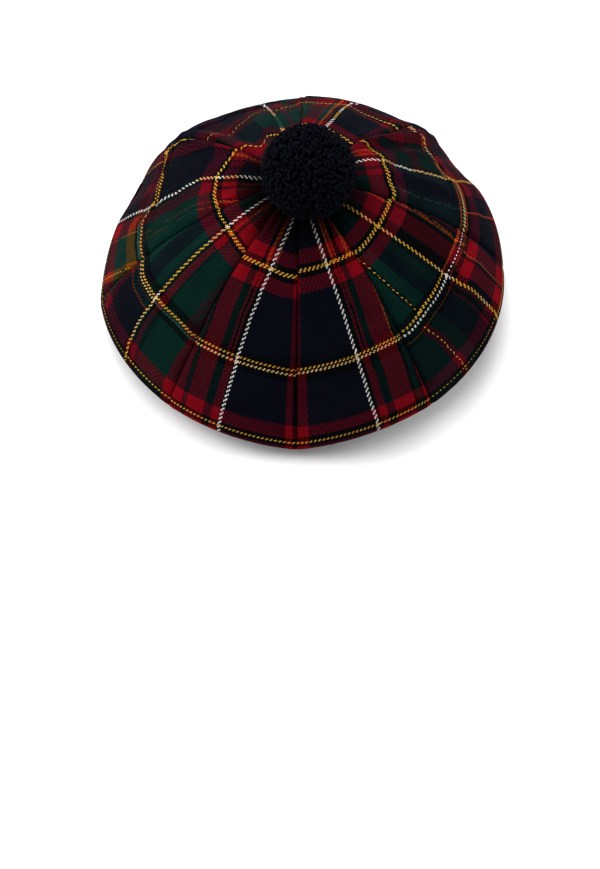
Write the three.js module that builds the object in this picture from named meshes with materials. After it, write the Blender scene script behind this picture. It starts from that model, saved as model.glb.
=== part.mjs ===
// A tam o'shanter: a full wool crown of eight gores that swells out past its headband and turns in underneath,
// with a cut-yarn pompom on top. Millimetres, +Z up, resting on the lower edge of its headband. The back of the
// hat faces -Y. Positive angles turn from the back towards +X.
import * as THREE from 'three';

// Driving dimensions.
const CROWN_TOP = 128;
const CLOTH = 2;
const GAP = 0.3;
const BAND = { halfWidth: 89, halfLength: 96, wall: 3, height: 34, segments: 36 };
const POMPOM = { radius: 31, side: 6, back: 10, rise: 24.5, base: 0.7, rounds: 12, segments: 28 };
const GROOVE = 1.2;

// The crown's section through the middle of a gore, from its tip to the headband. radius is measured from the
// hat's axis and drop from the crown's top. follow is the share of a row of RIBS that this section takes, edge
// is how far it has changed from that row's reach to its flare, and steps is how many rows of faces lead to it
// from the section before.
const SECTIONS = [
  { name: 'tip', radius: 4, drop: 0.4, follow: 0, edge: 0, steps: 0 },
  { name: 'cap', radius: 26, drop: 4, follow: 0.2, edge: 0, steps: 2 },
  { name: 'upper line', radius: 57, drop: 18, follow: 0.5, edge: 0, steps: 3 },
  { name: 'slope', radius: 84, drop: 37, follow: 0.8, edge: 0, steps: 3 },
  { name: 'shoulder', radius: 108, drop: 60, follow: 1, edge: 0, steps: 3 },
  { name: 'side', radius: 124.5, drop: 79, follow: 1.1, edge: 0.5, steps: 3 },
  { name: 'rim line', radius: 138, drop: 100, follow: 1.2, edge: 1, steps: 3 },
  { name: 'rim', radius: 140.5, drop: 105.5, follow: 1.2, edge: 1, steps: 2 },
  { name: 'turn', radius: 136, drop: 110, follow: 1.1, edge: 1, steps: 2 },
  { name: 'underside', radius: 116, drop: 104, follow: 0.5, edge: 1, steps: 2 },
];
const LIP = { steps: 2, stand: 1.5 };
const HEM_STEPS = 1;

// The seams and the middles of the gores, in order round the hat from the seam at the back. turn is the angle
// from the back, reach is how far the shoulder stands out past its section there, flare is the same at the rim,
// and lift is how far both are raised. The gathered cloth makes a corner at the left front seam and sags at the
// back.
const RIBS = [
  { name: 'back seam', turn: -3, reach: 1, flare: 1, lift: -9 },
  { name: 'gore 1', turn: 18.5, reach: 2.5, flare: 2.5, lift: 2 },
  { name: 'right back seam', turn: 37, reach: 1.5, flare: 2, lift: -1 },
  { name: 'gore 2', turn: 65, reach: 2, flare: 2, lift: 4.5 },
  { name: 'right seam', turn: 86, reach: 3, flare: 1, lift: 5 },
  { name: 'gore 3', turn: 112, reach: 4, flare: 0, lift: 5 },
  { name: 'right front seam', turn: 137, reach: 6, flare: 2, lift: -1 },
  { name: 'gore 4', turn: 161, reach: 3, flare: 2, lift: 4 },
  { name: 'front seam', turn: 179, reach: 6, flare: 3, lift: 4 },
  { name: 'gore 5', turn: 193, reach: 2, flare: 2, lift: 2 },
  { name: 'left front seam', turn: 229, reach: 14, flare: 4, lift: 1 },
  { name: 'gore 6', turn: 254, reach: 3, flare: 1, lift: 0 },
  { name: 'left seam', turn: 278, reach: 6, flare: 6, lift: -6 },
  { name: 'gore 7', turn: 298, reach: 4, flare: 4, lift: -2 },
  { name: 'left back seam', turn: 318, reach: 2.5, flare: 2.5, lift: -5 },
  { name: 'gore 8', turn: 336, reach: 1.5, flare: 2, lift: -3 },
];
const GORES = RIBS.length / 2;

// Where a gore's columns lie, from one seam at -1 to the other at 1.
const COLUMNS = [-1, -0.93, -0.7, -0.35, 0, 0.35, 0.7, 0.93, 1];

const COLOURS = { tartan: 0x3a1c24, tartanDark: 0x1c2a2c, band: 0x14161f, yarn: 0x0f131d };

const bandRadius = (angle, halfWidth, halfLength) =>
  1 / Math.hypot(Math.sin(angle) / halfWidth, Math.cos(angle) / halfLength);

// A quantity at a place across a gore: a parabola through its two seams and its middle.
function across(left, middle, right, place) {
  return middle + ((right - left) / 2) * place + ((left + right) / 2 - middle) * place * place;
}

function ribAt(gore, place) {
  const [left, middle, right] = [0, 1, 2].map((k) => RIBS[(2 * gore + k) % RIBS.length]);
  const rightTurn = right.turn < left.turn ? right.turn + 360 : right.turn;
  return {
    angle: THREE.MathUtils.degToRad(across(left.turn, middle.turn, rightTurn, place)),
    reach: across(left.reach, middle.reach, right.reach, place),
    flare: across(left.flare, middle.flare, right.flare, place),
    lift: across(left.lift, middle.lift, right.lift, place),
    groove: Math.abs(place) === 1 ? GROOVE : 0,
  };
}

// One rib's outer line as points (radius, height), with the direction into the hat at each.
function ribLine(rib) {
  const points = SECTIONS.map((s) => {
    const stand = s.follow * THREE.MathUtils.lerp(rib.reach, rib.flare, s.edge);
    return new THREE.Vector3(s.radius + stand, 0, CROWN_TOP - s.drop + s.follow * rib.lift);
  });
  const hem = bandRadius(rib.angle, BAND.halfWidth, BAND.halfLength) + GAP;
  const seat = BAND.height + 2 * GAP;
  points.push(new THREE.Vector3(hem + BAND.wall + LIP.stand, 0, seat), new THREE.Vector3(hem, 0, seat));
  const curve = new THREE.CatmullRomCurve3(points, false, 'centripetal');
  const steps = [...SECTIONS.slice(1).map((s) => s.steps), LIP.steps, HEM_STEPS];
  const stations = [0];
  steps.forEach((count, k) => {
    for (let i = 1; i <= count; i += 1) stations.push((k + i / count) / steps.length);
  });
  return stations.map((t) => {
    const point = curve.getPoint(t);
    const along = curve.getTangent(t);
    const inward = new THREE.Vector3(along.z, 0, -along.x).normalize();
    return { point: point.addScaledVector(inward, rib.groove), inward };
  });
}

// Faces of a closed wall from its outer and inner grids of points, rows of the same length.
function wallGeometry(outer, inner) {
  const rows = outer.length;
  const columns = outer[0].length;
  const positions = [...outer.flat(), ...inner.flat()].flatMap((p) => p.toArray());
  const index = [];
  const at = (row, column, side) => side * rows * columns + row * columns + column;
  const quad = (a, b, c, d) => index.push(a, b, c, a, c, d);
  for (let r = 0; r < rows - 1; r += 1) {
    for (let c = 0; c < columns - 1; c += 1) {
      quad(at(r, c, 0), at(r + 1, c, 0), at(r + 1, c + 1, 0), at(r, c + 1, 0));
      quad(at(r, c, 1), at(r, c + 1, 1), at(r + 1, c + 1, 1), at(r + 1, c, 1));
    }
    quad(at(r, 0, 0), at(r, 0, 1), at(r + 1, 0, 1), at(r + 1, 0, 0));
    quad(at(r, columns - 1, 0), at(r + 1, columns - 1, 0), at(r + 1, columns - 1, 1), at(r, columns - 1, 1));
  }
  for (let c = 0; c < columns - 1; c += 1) {
    quad(at(0, c, 0), at(0, c + 1, 0), at(0, c + 1, 1), at(0, c, 1));
    quad(at(rows - 1, c, 0), at(rows - 1, c, 1), at(rows - 1, c + 1, 1), at(rows - 1, c + 1, 0));
  }
  const geometry = new THREE.BufferGeometry();
  geometry.setAttribute('position', new THREE.Float32BufferAttribute(positions, 3));
  geometry.setIndex(index);
  geometry.computeVertexNormals();
  return geometry;
}

// A gore: its ribs side by side, each in its own upright plane, held half a gap off its neighbours.
function goreGeometry(gore) {
  const lines = COLUMNS.map((place) => {
    const rib = ribAt(gore, place);
    const out = new THREE.Vector3(Math.sin(rib.angle), -Math.cos(rib.angle), 0);
    const aside = new THREE.Vector3(Math.cos(rib.angle), Math.sin(rib.angle), 0);
    const shift = Math.abs(place) === 1 ? (-place * GAP) / 2 : 0;
    const place3 = (p) =>
      new THREE.Vector3(0, 0, p.z).addScaledVector(out, p.x).addScaledVector(aside, shift);
    return ribLine(rib).map(({ point, inward }) => ({
      outer: place3(point),
      inner: place3(point.clone().addScaledVector(inward, CLOTH)),
    }));
  });
  const rows = lines[0].map((_, row) => lines.map((line) => line[row]));
  return wallGeometry(
    rows.map((row) => row.map((p) => p.outer)),
    rows.map((row) => row.map((p) => p.inner)),
  );
}

function bandGeometry() {
  const ring = new THREE.Shape();
  ring.absellipse(0, 0, BAND.halfWidth + BAND.wall, BAND.halfLength + BAND.wall, 0, 2 * Math.PI);
  const hole = new THREE.Path();
  hole.absellipse(0, 0, BAND.halfWidth, BAND.halfLength, 0, 2 * Math.PI, true);
  ring.holes.push(hole);
  return new THREE.ExtrudeGeometry(ring, {
    depth: BAND.height,
    bevelEnabled: false,
    curveSegments: BAND.segments,
  });
}

// The pompom's outer form: a ball with a flat where it is sewn down.
function pompomGeometry() {
  const flat = POMPOM.base - POMPOM.rise;
  const low = Math.asin(flat / POMPOM.radius);
  const profile = [new THREE.Vector2(0, flat)];
  for (let k = 0; k < POMPOM.rounds; k += 1) {
    const angle = THREE.MathUtils.lerp(low, Math.PI / 2, k / POMPOM.rounds);
    profile.push(new THREE.Vector2(POMPOM.radius * Math.cos(angle), POMPOM.radius * Math.sin(angle)));
  }
  profile.push(new THREE.Vector2(0, POMPOM.radius));
  return new THREE.LatheGeometry(profile, POMPOM.segments);
}

function piece(name, geometry, color, roughness) {
  const mesh = new THREE.Mesh(geometry, new THREE.MeshStandardMaterial({ color, roughness, metalness: 0 }));
  mesh.name = name;
  return mesh;
}

const hat = new THREE.Group();

for (let gore = 0; gore < GORES; gore += 1) {
  const color = gore % 2 ? COLOURS.tartan : COLOURS.tartanDark;
  hat.add(piece(`crown_gore_${gore + 1}`, goreGeometry(gore), color, 0.9));
}

hat.add(piece('headband', bandGeometry(), COLOURS.band, 0.9));

const pompom = piece('pompom', pompomGeometry(), COLOURS.yarn, 1);
pompom.rotation.x = Math.PI / 2;
pompom.position.set(POMPOM.side, -POMPOM.back, CROWN_TOP + POMPOM.rise);
hat.add(pompom);

// The origin is on the surface under the middle of the hat's outline.
const middle = new THREE.Box3().setFromObject(hat).getCenter(new THREE.Vector3());
hat.position.set(-middle.x, -middle.y, 0);

export default hat;
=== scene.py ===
"""A tartan tam o'shanter: eight wool gores gathered into an oval headband, with a cut-yarn pompom on top."""

import math
import random
import re

import bmesh
import bpy
from mathutils import Matrix, Vector, noise


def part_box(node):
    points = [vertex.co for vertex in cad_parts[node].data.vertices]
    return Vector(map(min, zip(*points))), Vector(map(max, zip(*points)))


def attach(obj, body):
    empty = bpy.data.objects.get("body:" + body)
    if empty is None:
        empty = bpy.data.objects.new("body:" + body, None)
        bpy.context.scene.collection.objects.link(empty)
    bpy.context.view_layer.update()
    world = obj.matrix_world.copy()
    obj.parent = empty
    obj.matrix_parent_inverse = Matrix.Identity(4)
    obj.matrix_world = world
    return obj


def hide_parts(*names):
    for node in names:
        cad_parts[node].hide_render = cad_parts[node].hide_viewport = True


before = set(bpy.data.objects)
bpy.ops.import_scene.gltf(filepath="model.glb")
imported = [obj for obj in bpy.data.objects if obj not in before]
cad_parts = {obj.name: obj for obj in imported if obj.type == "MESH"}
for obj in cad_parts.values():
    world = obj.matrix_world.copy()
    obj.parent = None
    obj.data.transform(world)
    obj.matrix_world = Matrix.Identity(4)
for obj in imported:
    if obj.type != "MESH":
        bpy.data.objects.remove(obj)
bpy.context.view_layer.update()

# --------------------------------------------------------------------------------------------------
# Driving dimensions. The crown is worked out about the hat's upright axis, then placed in the frame.
# Widths and heights are in millimetres; MM turns them into metres.

MM = 0.001
band_low, band_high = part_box("headband")
AXIS = (band_low + band_high) / 2
CROWN_TOP = 128
BAND = {"half_width": 89, "half_length": 96, "wall": 2.6, "height": 34, "ease": 0.4, "lap": 16}
LIP_STAND = 4.5
HEM_STAND = 0.4
POMPOM = {"radius": 31, "side": 6, "back": 10, "rise": 24.5, "core": 0.84, "strands": 3000, "seed": 7}
CLOTH = 1.6
WARP_PITCH = 0.74
WEFT_PITCH = 0.88

# The crown's section from its tip to its hem, through the middle of a gore: how far out from the axis, how
# far below the crown's top, how much of a rib's reach and lift it follows, and how far it turns to its flare.
SECTIONS = [
    # name, radius, drop, follow, edge
    ("tip", 3, 0.4, 0, 0),
    ("cap", 26, 4, 0.2, 0),
    ("upper line", 57, 18, 0.5, 0),
    ("slope", 84, 37, 0.8, 0),
    ("shoulder", 108, 60, 1, 0),
    ("side", 124.5, 79, 1.1, 0.5),
    ("rim line", 138, 100, 1.2, 1),
    ("rim", 140.5, 105.5, 1.2, 1),
    ("turn", 136, 110, 1.1, 1),
    ("underside", 116, 104, 0.5, 1),
    ("lip", 97, 93.1, 0, 1),
    ("hem", 92, 93.1, 0, 1),
]

# Seams and gore middles in order round the hat from the back seam: angle from the back, how far the shoulder
# stands out past its section, the same at the rim, and how far both are raised.
RIBS = [
    # name, turn, reach, flare, lift
    ("back seam", -3, 1, 1, -9),
    ("gore 1", 18.5, 2.5, 2.5, 2),
    ("right back seam", 37, 1.5, 2, -1),
    ("gore 2", 65, 2, 2, 4.5),
    ("right seam", 86, 3, 1, 5),
    ("gore 3", 112, 4, 0, 5),
    ("right front seam", 137, 6, 2, -1),
    ("gore 4", 161, 3, 2, 4),
    ("front seam", 179, 6, 3, 4),
    ("gore 5", 193, 2, 2, 2),
    ("left front seam", 229, 14, 4, 1),
    ("gore 6", 254, 3, 1, 0),
    ("left seam", 278, 6, 6, -6),
    ("gore 7", 298, 4, 4, -2),
    ("left back seam", 318, 2.5, 2.5, -5),
    ("gore 8", 336, 1.5, 2, -3),
]

COLUMNS = 60
ROWS = 200


def section_marks():
    """Distance along the cloth to each section, from the hat's axis."""
    marks = [SECTIONS[0][1]]
    for (_, r0, d0, _, _), (_, r1, d1, _, _) in zip(SECTIONS, SECTIONS[1:]):
        marks.append(marks[-1] + math.hypot(r1 - r0, d1 - d0))
    return marks


MARKS = section_marks()
MARK = {row[0]: mark for row, mark in zip(SECTIONS, MARKS)}


def slopes(values):
    """Slope of a smooth line through values at MARKS."""
    steps = [(b - a) / (t - s) for a, b, s, t in zip(values, values[1:], MARKS, MARKS[1:])]
    inner = []
    for k in range(1, len(values) - 1):
        before, after = MARKS[k] - MARKS[k - 1], MARKS[k + 1] - MARKS[k]
        inner.append((steps[k - 1] * after + steps[k] * before) / (before + after))
    return [steps[0], *inner, steps[-1]]


def along_line(values, grades, mark):
    """Value and slope at a distance along the cloth."""
    k = max(i for i in range(len(MARKS) - 1) if i == 0 or MARKS[i] <= mark)
    width = MARKS[k + 1] - MARKS[k]
    t = (mark - MARKS[k]) / width
    a, b, m, n = values[k], values[k + 1], grades[k] * width, grades[k + 1] * width
    value = a + m * t + (3 * (b - a) - 2 * m - n) * t**2 + (2 * (a - b) + m + n) * t**3
    slope = (m + 2 * (3 * (b - a) - 2 * m - n) * t + 3 * (2 * (a - b) + m + n) * t**2) / width
    return value, slope


def across(left, middle, right, place):
    """A parabola through a gore's left seam, middle and right seam."""
    return middle + (right - left) / 2 * place + ((left + right) / 2 - middle) * place**2


def rib_at(gore, place):
    """Turn, reach, flare and lift at a place across a gore, from -1 to 1."""
    left, middle, right = (RIBS[(2 * gore + k) % len(RIBS)][1:] for k in range(3))
    if right[0] < left[0]:
        right = (right[0] + 360, *right[1:])
    return [across(*values, place) for values in zip(left, middle, right)]


def band_radius(angle, grow=0.0):
    """The headband's oval, from its inside outwards."""
    half_width, half_length = BAND["half_width"] + grow, BAND["half_length"] + grow
    return 1 / math.hypot(math.sin(angle) / half_width, math.cos(angle) / half_length)


class Rib:
    """The outer line of the cloth in one upright plane through the hat's axis."""

    def __init__(self, gore, place):
        turn, reach, flare, lift = rib_at(gore, place)
        self.angle = math.radians(turn)
        radii, heights = [], []
        for name, radius, drop, follow, edge in SECTIONS:
            if name in ("lip", "hem"):
                radius = band_radius(self.angle) + (LIP_STAND if name == "lip" else HEM_STAND)
            radii.append(radius + follow * (reach + (flare - reach) * edge))
            heights.append(CROWN_TOP - drop + follow * lift)
        self.radii, self.radius_slopes = radii, slopes(radii)
        self.heights, self.height_slopes = heights, slopes(heights)
        self.out = Vector((math.sin(self.angle), -math.cos(self.angle), 0))

    def at(self, mark, stand=0.0):
        """The point at a distance along the cloth, standing off it, in millimetres about the axis."""
        radius, radius_slope = along_line(self.radii, self.radius_slopes, mark)
        height, height_slope = along_line(self.heights, self.height_slopes, mark)
        normal = Vector((-height_slope, radius_slope)).normalized()
        return self.out * (radius + normal.x * stand) + Vector((0, 0, height + normal.y * stand))


# How far each gore's middle puffs out at the shoulder, gore 1 first.
PUFF = (0.5, 2.8, 0.6, -0.3, -0.5, -0.4, 1.6, 0.5)


def bump(distance, width):
    """A bell of height 1."""
    return math.exp(-((distance / width) ** 2))


def smooth(low, high, value):
    """From 0 at low to 1 at high, level at both ends."""
    t = min(max((value - low) / (high - low), 0), 1)
    return t * t * (3 - 2 * t)


# Folds and creases of the worn cloth: the gore, where each starts and ends as (place across, distance along),
# its height and its width. A negative height is a valley.
FOLDS = [
    # gore, start, end, height, width
    (6, (-0.93, 40), (-0.93, 128), 2.6, 4.5),
    (5, (0.93, 40), (0.93, 128), 3.2, 5),
    (5, (0.76, 50), (0.76, 120), -2.0, 5),
    (3, (0.86, 56), (0.68, 124), 4.6, 4.5),
    (3, (0.62, 62), (0.46, 120), -2.2, 5),
    (3, (-0.25, 60), (-0.45, 118), 1.6, 5),
    (3, (0.35, 64), (0.3, 116), 1.4, 8),
    (4, (-0.3, 70), (0.1, 130), 2.0, 9),
    (5, (0.2, 60), (-0.1, 130), 2.4, 9),
    (5, (0.7, 60), (0.6, 130), -2.0, 7),
    (2, (-0.55, 66), (-0.62, 116), -0.9, 4),
    (7, (0.3, 70), (0.25, 118), 0.8, 10),
    (4, (1.0, 90), (1.0, 165), -2.2, 14),
    (5, (-1.0, 90), (-1.0, 165), -2.2, 14),
    (3, (1.0, 110), (1.0, 172), 4.0, 13),
    (4, (-1.0, 110), (-1.0, 172), 4.0, 13),
    (3, (0.42, 122), (0.42, 194), -4.5, 19),
    (6, (-0.5, 122), (-0.5, 194), -4.5, 20),
    (5, (1.0, 110), (1.0, 172), -3.0, 12),
    (6, (-1.0, 110), (-1.0, 172), -3.0, 12),
]


# Creases that run round the crown beside the outer ring and at the rim: distance along, height, width.
CREASES = [
    (121.5, 0.9, 2.0),
    (117.5, -0.8, 2.0),
    (133, -0.6, 2.5),
    (175, 0.5, 2.5),
    (181, -0.6, 2.0),
]


def fold_stand(gore, place, mark, half):
    """How far the folds lift the cloth here."""
    stand = 0.0
    for number, start, end, height, width in FOLDS:
        if number != gore + 1:
            continue
        share = (mark - start[1]) / (end[1] - start[1])
        ends = smooth(-0.15, 0.15, share) * (1 - smooth(0.85, 1.15, share))
        middle = start[0] + (end[0] - start[0]) * share
        stand += height * ends * bump((place - middle) * half, width)
    return stand


def relief(gore, place, mark, half, point):
    """How far the cloth stands off its plain form, with its furrows, creases, puffs, ripples and folds."""
    from_seam = half * (1 - abs(place))
    furrow = -1.5 * math.exp(-from_seam / 1.1) + 0.5 * bump(from_seam - 5, 3.5)
    furrow *= smooth(18, 45, mark) * (1 - 0.75 * smooth(165, 180, mark))
    crease = sum(height * bump(mark - middle, width) for middle, height, width in CREASES)
    puff = PUFF[gore] * (1 - place**2) * smooth(60, 110, mark) * (1 - smooth(175, 200, mark))
    ripple = 0.9 * noise.noise(point * 0.03) + 0.45 * noise.noise(point * 0.08 + Vector((7, 3, 1)))
    ripple *= smooth(10, 60, mark) * (1 - smooth(150, 180, mark))
    pucker = 0.8 * math.cos(place * math.pi * 3) * bump(mark - 30, 16)
    return furrow + crease + puff + ripple + pucker + fold_stand(gore, place, mark, half)


def half_widths(gore, mark):
    """Half the gore's width each side of its middle line, along the cloth."""
    widths = []
    for side in (-1, 1):
        points = [Rib(gore, side * k / 6).at(mark) for k in range(7)]
        widths.append(sum((b - a).length for a, b in zip(points, points[1:])))
    return widths


# --------------------------------------------------------------------------------------------------
# Materials

COLOURS = {
    "K": (0.0016, 0.0017, 0.0024),  # black
    "N": (0.0034, 0.0044, 0.0100),  # navy
    "G": (0.0024, 0.0240, 0.0185),  # bottle green
    "D": (0.0018, 0.0090, 0.0088),  # dark green
    "R": (0.2800, 0.0024, 0.0095),  # scarlet
    "M": (0.1500, 0.0022, 0.0115),  # crimson
    "A": (0.0650, 0.0025, 0.0080),  # maroon
    "W": (1.0000, 0.9700, 0.9200),  # white
    "P": (0.9000, 0.5900, 0.2200),  # straw
    "Y": (0.8800, 0.4600, 0.0450),  # yellow
    "O": (0.9000, 0.1300, 0.0080),  # orange
    "B": (0.2600, 0.0700, 0.0050),  # brown
    "H": (0.1200, 0.0950, 0.0150),  # olive
    # L is a pale green thread colour; the narrow L stripe in gore 3's left chart is a painted sheen streak.
    "L": (0.0700, 0.1700, 0.1300),  # pale green
}


class Value:
    """A node's output that takes part in plain arithmetic, each operator adding one Math node."""

    def __init__(self, finish, socket):
        self.finish = finish
        self.socket = socket

    def math(self, operation, *others):
        values = dict(enumerate([self, *others]))
        return self.finish.node("ShaderNodeMath", {"operation": operation}, values)

    def __add__(self, other):
        return self.math("ADD", other)

    def __radd__(self, other):
        return self.math("ADD", other)

    def __sub__(self, other):
        return self.math("SUBTRACT", other)

    def __rsub__(self, other):
        return self.finish.node("ShaderNodeMath", {"operation": "SUBTRACT"}, {0: other, 1: self})

    def __mul__(self, other):
        return self.math("MULTIPLY", other)

    def __rmul__(self, other):
        return self.math("MULTIPLY", other)

    def __truediv__(self, other):
        return self.math("DIVIDE", other)

    def __mod__(self, other):
        return self.math("FLOORED_MODULO", other)

    def __pow__(self, other):
        return self.math("POWER", other)

    def __lt__(self, other):
        return self.math("LESS_THAN", other)

    def __gt__(self, other):
        return self.math("GREATER_THAN", other)

    def floor(self):
        return self.math("FLOOR")


class Finish:
    """A material built up from nodes around one Principled BSDF."""

    def __init__(self, name, roughness):
        self.material = bpy.data.materials.new(name)
        self.material.use_nodes = True
        self.tree = self.material.node_tree
        self.shader = self.tree.nodes["Principled BSDF"]
        self.shader.inputs["Roughness"].default_value = roughness
        self.shader.inputs["Specular IOR Level"].default_value = 0.02

    def put(self, socket, value):
        """Link a value to a socket, or set the socket to a number or a colour."""
        if isinstance(value, Value):
            self.tree.links.new(value.socket, socket)
        elif hasattr(socket.default_value, "__len__") and len(socket.default_value) == 4:
            socket.default_value = (*value, 1)
        else:
            socket.default_value = value

    def node(self, kind, settings, values, output=0):
        """Add a node: its type, its settings, the values or links of its sockets, and the output to use."""
        made = self.tree.nodes.new(kind)
        for key, value in settings.items():
            if key == "stops":
                self.set_stops(made.color_ramp, value)
            else:
                setattr(made, key, value)
        for key, value in values.items():
            self.put(made.inputs[key], value)
        return Value(self, made.outputs[output])

    @staticmethod
    def set_stops(ramp, stops):
        ramp.interpolation = "CONSTANT"
        for position, _ in stops[2:]:
            ramp.elements.new(position)
        for element, (position, colour) in zip(ramp.elements, stops):
            element.position = position
            element.color = (*colour, 1)

    def object_point(self):
        return self.node("ShaderNodeTexCoord", {}, {}, "Object")

    def noise(self, scale, detail):
        values = {"Vector": self.object_point(), "Scale": scale, "Detail": detail}
        return self.node("ShaderNodeTexNoise", {}, values, "Fac")

    def part(self, vector, index):
        return self.node("ShaderNodeSeparateXYZ", {}, {"Vector": vector}, index)

    def mix(self, share, first, second, blend="MIX"):
        settings = {"data_type": "RGBA", "blend_type": blend}
        return self.node("ShaderNodeMix", settings, {0: share, 6: first, 7: second}, 2)

    def shaded(self, colour, shade):
        """The colour made darker or lighter by a number."""
        grey = self.node("ShaderNodeCombineColor", {}, {0: shade, 1: shade, 2: shade})
        return self.mix(1.0, colour, grey, "MULTIPLY")

    def surface(self, colour, height=None, depth=0.0002, strength=1.0):
        """Set the colour and the relief, and give the finished material."""
        self.put(self.shader.inputs["Base Color"], colour)
        if height is not None:
            values = {"Height": height, "Distance": depth, "Strength": strength}
            self.put(self.shader.inputs["Normal"], self.node("ShaderNodeBump", {}, values))
        return self.material


def stripes(chart):
    """Stripes written as colour letters and widths, such as "N12 R2", as (letter, width) pairs."""
    return [(letter, float(width)) for letter, width in re.findall(r"([A-Z])([0-9.]+)", chart)]


def ramp_of(finish, pairs, position):
    """The colours of stripes, read by a distance in millimetres from the first stripe's edge."""
    total = sum(width for _, width in pairs)
    stops, start = [], 0
    for letter, width in pairs:
        stops.append((start / total, COLOURS[letter]))
        start += width
    return finish.node("ShaderNodeValToRGB", {"stops": stops}, {"Fac": position / total})


def both_sides(left, right):
    """Stripes from a gore's left edge to its right edge, out of two charts that run outwards."""
    sides = []
    for chart in (left, right):
        pairs = stripes(chart)
        used = sum(width for _, width in pairs[:-1])
        sides.append([*pairs[:-1], (pairs[-1][0], SIDE - used)])
    return [*reversed(sides[0]), *sides[1]]


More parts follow.
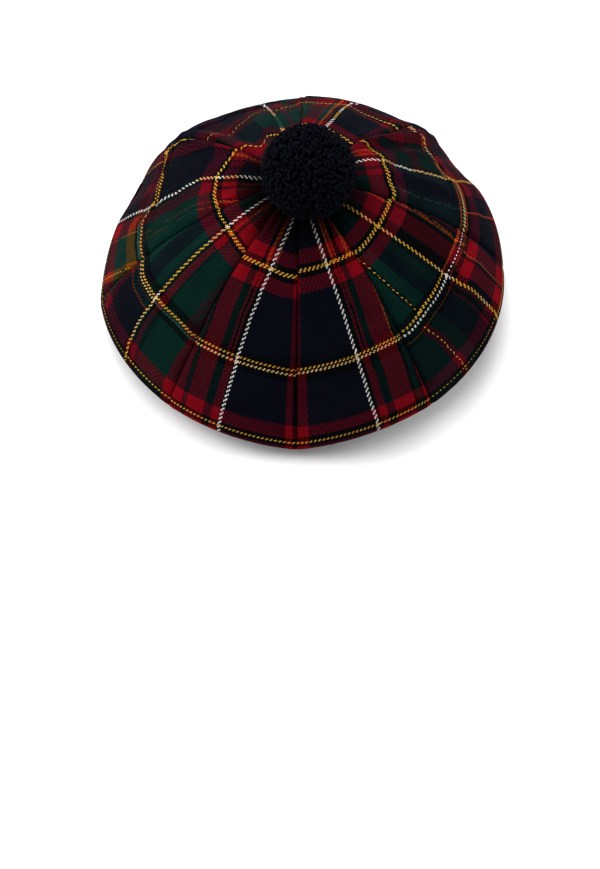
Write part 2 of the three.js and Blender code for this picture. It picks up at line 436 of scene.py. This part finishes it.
# The setts. Each gore's left and right charts run outwards from the line down its middle, one for each zone:
# inside the inner ring, between the rings and outside the outer ring. cross_left and cross_right run from the
# crown's tip towards the hem, and line is the middle line's own colours on that way. The fans say how far
# the stripes of a side spread with the gore's width, from 0 to 1. run is how far the middle line strays from
# the gore's middle on its way down the cloth, and inner and outer are how far down the rings lie across it.
SETTS = [
    {
        "left": ("K2 H3 N20", "N31.6 R2", "N28.6 R5"),
        "right": ("K4 O1.5 R1.2 O1.5 K3 R4 O3 R9", "K3.2 R1.8 K1 R1.8 D5 R14 O1 K1 G6 R2 G9",
                  "K2.6 R4.6 K1 D5 R15 K2.5 G4 K2 R14"),
        "cross_left": "N46 R9.5 K2.9 Y2.65 K3.45 R9.5 N44 K5.2 Y1.8 K0.9 P1.8 K4.9 N31 R9 K2.4 Y1.8 K3.3 "
                      "R9 N50",
        "cross_right": "N46 R9.5 K2.9 Y2.65 K3.45 R9.5 D44 K5.2 Y1.8 K0.9 P1.8 K4.9 D31 R9 K2.4 Y1.8 K3.3 "
                       "R9 N50",
        "line": "W238",
        "fans": (1, 0.15),
        "run": ((30, -2.5), (60, -2), (100, -0.5), (126, 0.5), (150, 1.5), (178, 3.5)),
        "inner": ((-10, 60), (10, 60)),
        "outer": ((-10, 126), (10, 126)),
    },
    {
        "left": ("K5 D30", "K5 D6 N9 G8 K0.8 Y1 K0.8 G20", "K2 M1.5 K3 M1.5 N16 G8 M2 Y1 M2 G40"),
        "right": ("K6 M12 K1 O2 D10", "K6 D2 M13 K2 G2 O0.8 G1.5 O0.8 D4 M3 D20",
                  "K5 R11 K1 G2 O1 G1 R12 N20"),
        "cross_left": "D47 R9 K2.9 Y2.65 K2.45 R9 G41 K3.3 Y1.8 K1.8 W1.8 K5.2 B0.9 K3 D31 M9 K3.5 Y1.8 "
                      "K3.8 R9 N50",
        "cross_right": "D45 R11 K3 Y2.65 K3 R10 K40 K2 O1.8 M1.8 W1.8 M1.8 B1.8 K4 R10 N27 R9 K2 Y1.8 K3.8 "
                       "R9 N50",
        "line": "Y46 P10 Y8 P14 Y32 P10 W7 Y24 P16 Y70",
        "fans": (0.35, 0.2),
        "run": ((33, -2.5), (60, -3), (80, -3), (100, -2.5), (120, -1), (130, 2), (150, 6), (178, 8)),
        "inner": ((-27, 61), (0, 60), (22, 62)),
        "outer": ((-50, 131), (-25, 127), (0, 125), (44, 130)),
    },
    {
        # The narrow L0.8 stripe in the middle zone of the left chart is a painted sheen streak.
        "left": ("K2 M5 D3 M5 D20", "K2 G6 N12 G3 L0.8 G20", "M12 K2 N10 O1 N30"),
        "right": ("K2 A4 O2 R3 O2 M8", "K2 G8 D7 A4 D4.5 K0.8 R4.4 K0.8 M20", "M8 A8 M6 D8 A20"),
        "cross_left": "D46 R12 K2.5 Y2.65 K2.3 M6 N45 K3 O1.8 K1 P2.65 K1 O1.8 K4 M12 N24 R9 K2.6 Y1.8 "
                      "K3.6 R9 N50",
        "cross_right": "D46 R12 K2.5 Y2.65 K2.3 M10 D14 A10 D17 K1.8 O1.8 K1 P2.65 K1 O1.8 K2.4 M12 N22 R9 "
                       "K2.6 Y1.8 K3.6 R9 N50",
        "line": "W58 P14 W14 P28 Y44 P80",
        "fans": (0.5, 0.5),
        "run": ((42, 5), (55, 6), (65, 4), (75, -1), (85, -5), (100, -7), (115, -8), (130, -6), (150, -1),
                (178, 8)),
        "inner": ((-25, 64), (-12, 61), (0, 61.5), (6, 64), (15, 62.5), (22, 57)),
        "outer": ((-50, 129), (-35, 131), (-15, 133), (-9, 133), (-5, 121), (3, 118), (12, 121), (22, 125),
                  (45, 124)),
    },
    {
        "left": ("K2 M4 N20", "K2 N26 M4 G20", "K2 M8 N24"),
        "right": ("K2 R3 K1 O1.5 G3 R20", "K2.5 R1.5 K1 O2 G4 R2 K1 M8 G20", "K2 R4 K1 O2 G4 R6 N20"),
        "cross_left": "D50 R6 K2 Y2.65 K2 R7 N34 R5 K2.5 Y2.65 K3 R14 N30 R10 K3.6 Y1.8 K3.6 R9 N50",
        "cross_right": "D50 R6 K2 Y2.65 K2 R7 G34 R5 K2.5 Y2.65 K3 R14 G30 R10 K3.6 Y1.8 K3.6 R9 N50",
        "line": "W76 Y14 W10 Y10 W150",
        "fans": (0.5, 0.5),
        "run": ((58, 1), (80, -1), (112, -2)),
        "inner": ((-20, 54), (-10, 56), (0, 59), (20, 58)),
        "outer": ((-38, 123), (-20, 122), (0, 122), (20, 121)),
    },
    {
        "left": ("G6 M3 G20", "K1 G7 M2 G12 M5 G9", "K2 A8 G10 A6 M20"),
        "right": ("K2 M5 G10 R9", "K1 G11 N13 A3 M5 K1 A10", "K2 A8 N12 A6 N12"),
        "cross_left": "G46 M8 K2 Y1.8 K2.9 M7 G38 M7 K3 Y1.8 K3.4 M12 G26 R10 K3.6 Y1.8 K3.6 R9 N50",
        "cross_right": "G46 M8 K2 Y1.8 K2.9 M7 G36 M9 K3 Y1.8 K4 M10 N30 R10 K3.6 Y1.8 K3.6 R9 N50",
        "line": "L56 P12 L30 P20 W120",
        "fans": (0.5, 0.8),
        "run": ((53, 0), (80, 1), (95, 2), (120, 3)),
        "inner": ((-15, 56), (0, 53), (8, 56), (13, 57), (20, 45), (30, 52)),
        "outer": ((-20, 120), (-8, 110), (0, 97), (8, 106), (15, 113), (28, 95), (42, 85), (55, 88)),
    },
    {
        "left": ("K2 N12 A4 K1 R3 O3 R10", "K2 N24 K1 M6 K2 Y0.8 K2 M8", "K2 N8 A8 N12 Y0.8 A10"),
        "right": ("K4 R3 K2 R9 K1 O2 R9", "K3 M3 K1 M5 G7 B0.8 G4 B0.8 G30",
                  "K3 R10 G2 O0.8 G22 B3 Y0.8 B3 G20"),
        "cross_left": "N43 M12 K3.4 Y2.65 K2.6 M12 N39 K6 M2.2 Y1.8 K0.9 Y0.9 K2.9 M17 N20 A11 K2.4 Y1.8 "
                      "K3.4 R9 N50",
        "cross_right": "K43 R11 K4.5 Y2.65 K2.5 R10 G42 K4.4 M1.6 Y2.65 L2.65 K3 B11 G18 R14 K2.4 Y1.8 "
                       "K3.4 R9 N50",
        "line": "W40 P14 W6 P20 W38 Y6 W130",
        "fans": (0.7, 0.2),
        "run": ((30, 2), (45, 0), (75, -2.5), (84, 0), (100, 5), (120, 7.5), (150, 5.5), (178, 1)),
        "inner": ((-22, 52), (-12, 58), (-3, 62), (10, 61.5), (24, 57)),
        "outer": ((-50, 139), (-35, 131), (-15, 121.5), (4, 120), (10, 130), (16, 136), (30, 134), (50, 128)),
    },
    {
        "left": ("K3 D20", "K2 D3 G7 N14 G20", "K3 D5 N24 M4.5 H1 G3 O1 K3"),
        "right": ("K2 R3 O1.2 R2 D2 R20", "K2.5 R6 D1.5 G17 M1 G1 M1 G1 M1 G1 M1 G1 M9", "K3 M4 D3 G24 R12"),
        "cross_left": "D43 R11 K2.4 Y2.65 K2.95 R9 G46 K5.4 Y1.8 K0.9 P1.8 K2.6 H1 G4 B1.8 N27 M10 K2.4 "
                      "Y1.8 K4 R9 N50",
        "cross_right": "D43 R11 K2.4 Y2.65 K2.95 R9 G46 K5 Y1.8 K0.9 L1.8 K5.1 G31 R10 K2.4 Y1.8 K4 R9 N50",
        "line": "W60 P14 Y44 W8 P34 Y60",
        "fans": (0.4, 0.3),
        "run": ((25, -1), (60, -2), (126, -2), (150, -1), (165, 1), (178, 5)),
        "inner": ((-20, 59), (0, 58), (22, 60.5)),
        "outer": ((-40, 126), (-25, 130), (-10, 129), (0, 128), (20, 126.5), (40, 128)),
    },
    {
        "left": ("K2.5 R1.5 O1.5 R1.2 K2.6 R20", "K3.8 R1.8 K1.2 R1.8 D5 R13 K1 G2 M1 G2 M1 G9",
                 "K2.8 R4.6 D5.6 R14 K1 G2 K1 R10"),
        "right": ("K2 H3 N20", "N28.8 R3.4 K2", "N27.6 R3.4 K3"),
        "cross_left": "N47 R9 K3.4 Y2.65 K3.45 R9.5 D43 K5.2 Y1.8 K0.9 P1.8 K4.9 D31 R9 K2.7 Y1.8 K3.4 R9 "
                      "N50",
        "cross_right": "N47 R9 K3.4 Y2.65 K3.45 R9.5 N43 K5.2 Y1.8 K0.9 P1.8 K4.9 N31 R9 K2.7 Y1.8 K3.4 R9 "
                       "N50",
        "line": "W238",
        "fans": (0.1, 1),
        "run": ((30, 7), (60, 4.5), (80, 2.5), (100, 0.8), (126, -0.5), (178, -2.5)),
        "inner": ((0, 61), (16, 63)),
        "outer": ((-20, 127), (30, 126.5)),
    },
]
SIDE = 75
LINE_WIDTH = 2.4
FAN_WIDTH = 32.8
RING_MARKS = (60.7, 126.8)
RIM_MARK = 177


def along_table(table, value):
    """A smooth line through (value, result) pairs, level at each of them and past both ends."""
    if value <= table[0][0]:
        return table[0][1]
    for (x0, y0), (x1, y1) in zip(table, table[1:]):
        if value <= x1:
            return y0 + (y1 - y0) * smooth(x0, x1, value)
    return table[-1][1]


def cloth_spot(gore, reach, mark, halves):
    """Where a point lies on a gore's cloth: from the middle line and from the tip, and its place in the sett.

    reach is the distance from the gore's middle rib, positive to the right.
    """
    sett = SETTS[gore]
    run = along_table(sett["run"], mark)
    from_line = reach - run
    side = 1 if from_line > 0 else 0
    half = max(halves[side] - run if side else halves[side] + run, 1)
    fan = sett["fans"][side]
    spread = from_line * (FAN_WIDTH / half) ** fan
    knots = [(0, 0)]
    for name, mark_there in zip(("inner", "outer"), RING_MARKS):
        knots.append((along_table(sett[name], reach), mark_there))
    knots += [(max(RIM_MARK, knots[-1][0] + 20), RIM_MARK), (300, 300)]
    along = mark
    for (x0, y0), (x1, y1) in zip(knots, knots[1:]):
        if x0 <= mark <= x1:
            along = y0 + (y1 - y0) * (mark - x0) / (x1 - x0)
            break
    return (from_line * MM, along * MM), (spread * MM, along * MM)


def hill(away):
    """A rounded top over -1 to 1, level with nothing at both ends."""
    return 1 - away * away


def tartan(gore):
    """Wool twill in a gore's sett. Warp and weft threads are counted on the piece's own cloth map."""
    sett = SETTS[gore]
    finish = Finish(f"tartan_gore_{gore + 1}", 0.95)
    cloth = finish.node("ShaderNodeUVMap", {"uv_map": "Cloth"}, {})
    spread = finish.node("ShaderNodeUVMap", {"uv_map": "Spread"}, {})
    warp_mm, weft_mm = (finish.part(cloth, k) / MM for k in range(2))
    spread_mm = finish.part(spread, 0) / MM
    warp, weft = warp_mm / WARP_PITCH, weft_mm / WEFT_PITCH
    warp_number, weft_number = warp.floor(), weft.floor()
    warp_middle, weft_middle = (warp_number + 0.5) * WARP_PITCH, (weft_number + 0.5) * WEFT_PITCH

    chart_place = spread_mm / warp_mm * warp_middle + SIDE
    zones = [ramp_of(finish, both_sides(*charts), chart_place) for charts in zip(sett["left"], sett["right"])]
    warp_colour = finish.mix(RING_MARKS[0] < weft_mm, zones[0], zones[1])
    warp_colour = finish.mix(RING_MARKS[1] < weft_mm, warp_colour, zones[2])
    line_colour = ramp_of(finish, stripes(sett["line"]), weft_middle)
    on_line = (warp_middle + WARP_PITCH / 2).math("ABSOLUTE") < LINE_WIDTH / 2
    warp_colour = finish.mix(on_line, warp_colour, line_colour)
    crosses = [ramp_of(finish, stripes(sett[name]), weft_middle) for name in ("cross_left", "cross_right")]
    weft_colour = finish.mix(0 < warp_mm, *crosses)

    warp_on_top = (warp_number + weft_number) % 4 < 2
    top = finish.mix(warp_on_top, weft_colour, warp_colour)
    under = finish.mix(warp_on_top, warp_colour, weft_colour)
    bright = finish.node("ShaderNodeSeparateColor", {}, {"Color": top}, 1) > 0.3
    colour = finish.mix(0.66 - 0.46 * bright, top, under, "DARKEN")
    under_bright = finish.node("ShaderNodeSeparateColor", {}, {"Color": under}, 1) > 0.3
    colour = finish.mix(0.13 - 0.13 * under_bright, colour, under, "LIGHTEN")

    # Each thread's rounded height across it and along its float. It gives the bump, and in shade below it
    # paints shade into the dips between threads and at the ends of floats; fibre and patches vary the tone at
    # random.
    warp_float = hill((warp - warp_number - 0.5) * 2) * hill((warp_number + weft) % 4 - 1)
    weft_float = hill((weft - weft_number - 0.5) * 2) * hill((warp + weft_number) % 4 - 3)
    hump = weft_float + warp_on_top * (warp_float - weft_float)
    fibre = finish.noise(2600, 3.0)
    patches = finish.noise(45, 3.0)
    shade = (0.13 + 1.1 * hump**1.8) * (0.7 + 0.6 * fibre) * (0.6 + 0.8 * patches)
    # Painted shadow: the cloth is darkened towards the tip, under and around the pompom, down to 0.12 at 22
    # mm along the cloth.
    painted_pompom_shadow = {"Value": weft_mm, "From Min": 22, "From Max": 58, "To Min": 0.12, "To Max": 1}
    shade *= finish.node("ShaderNodeMapRange", {"interpolation_type": "SMOOTHSTEP"}, painted_pompom_shadow)
    colour = finish.shaded(colour, shade)
    return finish.surface(colour, hump + 0.5 * fibre, depth=0.00035, strength=0.8)


def plain_wool(name, colour):
    finish = Finish(name, 0.95)
    fibre = finish.noise(900, 4.0)
    patches = finish.noise(60, 2.0)
    shade = (0.55 + 0.9 * fibre) * (0.75 + 0.5 * patches)
    return finish.surface(finish.shaded(colour, shade), fibre, depth=0.0006)


def yarn(name):
    """Cut wool yarn, each strand with its own tone, and painted shade in the tone attribute: near black at
    the strands' roots and on the core.
    """
    finish = Finish(name, 0.9)
    fibre = finish.noise(1400, 4.0)
    tone = finish.node("ShaderNodeAttribute", {"attribute_name": "tone"}, {}, "Fac")
    shade = (0.02 + 2.0 * tone) * (0.6 + 0.8 * fibre)
    return finish.surface(finish.shaded((0.0030, 0.0033, 0.0060), shade), fibre, depth=0.0005)


# --------------------------------------------------------------------------------------------------
# Pieces


def piece(name, mesh_maker, material):
    """A new object at the origin from a bmesh that mesh_maker fills."""
    bm = bmesh.new()
    mesh_maker(bm)
    mesh = bpy.data.meshes.new(name)
    bm.to_mesh(mesh)
    bm.free()
    mesh.shade_smooth()
    made = bpy.data.objects.new(name, mesh)
    bpy.context.scene.collection.objects.link(made)
    mesh.materials.append(material)
    return made


def placed(point):
    """A point in millimetres about the hat's axis, in metres in the frame."""
    return Vector((AXIS.x + point.x * MM, AXIS.y + point.y * MM, point.z * MM))


def gore_mesh(gore):
    marks = [MARKS[0] + (MARKS[-1] - MARKS[0]) * row / ROWS for row in range(ROWS + 1)]
    halves = [half_widths(gore, mark) for mark in marks]

    def fill(bm):
        bmesh.ops.create_grid(bm, x_segments=COLUMNS, y_segments=ROWS, size=0.5)
        cloth, spread = (bm.loops.layers.uv.new(name) for name in ("Cloth", "Spread"))
        spots, ribs = {}, {}
        for vert in bm.verts:
            column = round((vert.co.x + 0.5) * COLUMNS)
            row = round((vert.co.y + 0.5) * ROWS)
            raw = 2 * column / COLUMNS - 1
            place = math.copysign(abs(raw) ** 0.85, raw)
            if column not in ribs:
                ribs[column] = Rib(gore, place)
            rib, mark = ribs[column], marks[row]
            half = halves[row][1 if place > 0 else 0]
            stand = relief(gore, place, mark, half, rib.at(mark))
            vert.co = placed(rib.at(mark, stand))
            spots[vert] = cloth_spot(gore, place * half, mark, halves[row])
        for face in bm.faces:
            for loop in face.loops:
                loop[cloth].uv, loop[spread].uv = spots[loop.vert]
        bmesh.ops.recalc_face_normals(bm, faces=bm.faces)
        top = max(bm.faces, key=lambda face: face.calc_center_median().z)
        if top.normal.z < 0:
            bmesh.ops.reverse_faces(bm, faces=bm.faces)

    area = sum(left + right for left, right in halves) / len(halves) * (MARKS[-1] - MARKS[0])
    width = max(left + right for left, right in halves)
    return fill, (width * MM, (MARKS[-1] - MARKS[0]) * MM), area * MM * MM


def make_gore(gore):
    fill, flat, area = gore_mesh(gore)
    made = piece(f"tartan_gore_{gore + 1}", fill, tartan(gore))
    wall = made.modifiers.new("Wall", "SOLIDIFY")
    wall.thickness = CLOTH * MM
    wall.offset = -1
    node = f"crown_gore_{gore + 1}"
    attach(made, "root")
    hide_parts(node)
    return made


def make_band():
    """The headband: a strip of doubled wool cloth sewn into an oval ring."""

    def fill(bm):
        rounds, ring = 160, 0.5
        corner = BAND["wall"] / 2
        top = BAND["height"] - BAND["ease"] - corner
        turns = [math.pi * k / 8 for k in range(9)]
        profile = [(corner * math.cos(turn), top + corner * math.sin(turn)) for turn in turns]
        profile += [(-corner * math.cos(turn), corner - corner * math.sin(turn)) for turn in turns]
        verts = [bm.verts.new((x * MM, 0, z * MM)) for x, z in profile]
        edges = [bm.edges.new((a, b)) for a, b in zip(verts, [*verts[1:], verts[0]])]
        tall = [edge for edge in edges if edge.calc_length() > 10 * MM]
        bmesh.ops.subdivide_edges(bm, edges=tall, cuts=10)
        bmesh.ops.translate(bm, verts=bm.verts, vec=(ring, 0, 0))
        bmesh.ops.spin(bm, geom=[*bm.verts, *bm.edges], cent=(0, 0, 0), axis=(0, 0, 1), dvec=(0, 0, 0),
                       angle=math.tau, steps=rounds, use_merge=True, use_duplicate=False)
        for vert in bm.verts:
            angle = math.atan2(vert.co.x, -vert.co.y)
            off = math.hypot(vert.co.x, vert.co.y) - ring
            radius = band_radius(angle, BAND["wall"] / 2) * MM + off
            out = Vector((math.sin(angle), -math.cos(angle))) * radius
            vert.co = Vector((AXIS.x + out.x, AXIS.y + out.y, vert.co.z))
        bmesh.ops.recalc_face_normals(bm, faces=bm.faces)

    made = piece("band_cloth", fill, plain_wool("navy_band_wool", (0.010, 0.012, 0.022)))
    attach(made, "root")
    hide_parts("headband")
    return made


def make_pompom():
    """A ball of cut yarn: a core with short strands that point outwards, trimmed at the ball's skin."""
    draw = random.Random(POMPOM["seed"])
    centre = placed(Vector((POMPOM["side"], -POMPOM["back"], CROWN_TOP + POMPOM["rise"])))
    skin = POMPOM["radius"] * MM
    tones_and_shade = []

    def add_strand(bm, k, count):
        height = 1 - 2 * (k + 0.5) / count
        angle = k * math.pi * (3 - math.sqrt(5))
        flat = math.sqrt(1 - height * height)
        way = Vector((flat * math.cos(angle), flat * math.sin(angle), height))
        way = (way + Vector([draw.uniform(-0.06, 0.06) for _ in range(3)])).normalized()
        length = skin * draw.uniform(0.92, 1.01)
        if way.z < -0.3:
            length = min(length, (centre.z - (CROWN_TOP + 0.5) * MM) / -way.z)
        lean = (way + Vector([draw.uniform(-0.22, 0.22) for _ in range(3)])).normalized()
        tall = skin * 0.2
        tip = centre + way * length
        place = Matrix.Translation(tip - lean * tall / 2) @ lean.to_track_quat("Z", "Y").to_matrix().to_4x4()
        made = bmesh.ops.create_cone(bm, cap_ends=True, cap_tris=False, segments=6, radius1=0.0007,
                                     radius2=0.00105, depth=tall, matrix=place)["verts"]
        top = [vert for vert in made if (vert.co - tip).length < tall / 2]
        cap = next(face for face in top[0].link_faces if all(vert in top for vert in face.verts))
        bmesh.ops.inset_region(bm, faces=[cap], thickness=0.00045, depth=0.0005)
        tone = draw.uniform(0.35, 1.0)
        # Painted shade: each strand is near black at its root and lighter at its cut end, lightest in the
        # middle of that end.
        tones_and_shade.extend([tone * 0.6 if vert in top else 0.05 for vert in made])
        tones_and_shade.extend([tone] * 6)

    def fill(bm):
        core = skin * POMPOM["core"]
        bmesh.ops.create_icosphere(bm, subdivisions=4, radius=core, matrix=Matrix.Translation(centre))
        # Painted shade: the core gets no tone, so it stays near black deep in the ball.
        tones_and_shade.extend([0.0] * len(bm.verts))
        count, batch = POMPOM["strands"], 60
        for start in range(0, count, batch):
            few, mesh = bmesh.new(), bpy.data.meshes.new("strands")
            for k in range(start, start + batch):
                add_strand(few, k, count)
            few.to_mesh(mesh)
            few.free()
            bm.from_mesh(mesh)
            bpy.data.meshes.remove(mesh)

    made = piece("yarn_pompom", fill, yarn("navy_yarn"))
    # The tone attribute holds each strand's own tone and the painted shade at the roots and on the core.
    layer = made.data.attributes.new("tone", "FLOAT", "POINT")
    layer.data.foreach_set("value", tones_and_shade)
    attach(made, "root")
    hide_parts("pompom")
    return made


# --------------------------------------------------------------------------------------------------
# Stage, lights and camera

VIEW = {"elevation": 55, "azimuth": 1.3, "roll": -2.7, "below": 7.4637, "distance": 1.3, "lens": 80.161}


def make_camera():
    """A camera behind and above the hat, aimed a few degrees below the crown's top."""
    tilt, side, roll, below = (math.radians(VIEW[key]) for key in ("elevation", "azimuth", "roll", "below"))
    toward = Vector((math.sin(side) * math.cos(tilt), -math.cos(side) * math.cos(tilt), math.sin(tilt)))
    right = Vector((math.cos(side), math.sin(side), 0))
    up = toward.cross(right)
    right, up = right * math.cos(roll) + up * math.sin(roll), up * math.cos(roll) - right * math.sin(roll)
    apex = placed(Vector((0, 0, CROWN_TOP)))
    back = toward * math.cos(below) + up * math.sin(below)
    top = up * math.cos(below) - toward * math.sin(below)
    camera = bpy.data.objects.new("camera", bpy.data.cameras.new("camera"))
    bpy.context.scene.collection.objects.link(camera)
    turn = Matrix((right, top, back)).transposed().to_4x4()
    camera.matrix_world = Matrix.Translation(apex + toward * VIEW["distance"]) @ turn
    camera.data.sensor_fit = "VERTICAL"
    camera.data.sensor_height = 36
    camera.data.lens = VIEW["lens"]
    camera.data.clip_end = 20
    bpy.context.scene.camera = camera


def make_floor():
    def fill(bm):
        bmesh.ops.create_grid(bm, x_segments=1, y_segments=1, size=6)

    finish = Finish("pale_floor", 0.9)
    floor = piece("floor", fill, finish.surface((0.86, 0.86, 0.86)))


def hang(name, data, place):
    """A lamp at a place, turned to the hat."""
    lamp = bpy.data.objects.new(name, data)
    lamp.location = place
    lamp.rotation_euler = (Vector((0, 0, 0.08)) - Vector(place)).to_track_quat("-Z", "Y").to_euler()
    bpy.context.scene.collection.objects.link(lamp)


def make_lights():
    """A broad soft key from above, three soft boxes round it, and a white surround."""
    world = bpy.data.worlds.new("studio")
    world.use_nodes = True
    nodes, links = world.node_tree.nodes, world.node_tree.links
    nodes["Background"].inputs["Color"].default_value = (1, 1, 1, 1)
    ray, level = nodes.new("ShaderNodeLightPath"), nodes.new("ShaderNodeMapRange")
    level.inputs["To Min"].default_value = 0.45
    level.inputs["To Max"].default_value = 0.9
    links.new(ray.outputs["Is Camera Ray"], level.inputs["Value"])
    links.new(level.outputs["Result"], nodes["Background"].inputs["Strength"])
    bpy.context.scene.world = world
    bpy.context.scene.view_settings.view_transform = "Standard"
    lamps = [
        # name, place, size, power
        ("back", (0.0, 1.5, 1.5), 1.4, 34),
        ("left", (-1.6, 0.2, 1.0), 1.0, 22),
        ("right", (1.6, 0.0, 1.1), 1.0, 14),
    ]
    for name, place, size, power in lamps:
        data = bpy.data.lights.new(name, "AREA")
        data.size = size
        data.energy = power
        hang(name, data, place)
    data = bpy.data.lights.new("key", "SUN")
    data.angle = math.radians(50)
    data.energy = 1.8
    hang("key", data, (-0.4, 0.3, 2.0))


make_camera()
make_band()
for number in range(len(SETTS)):
    make_gore(number)
make_pompom()
make_floor()
make_lights()
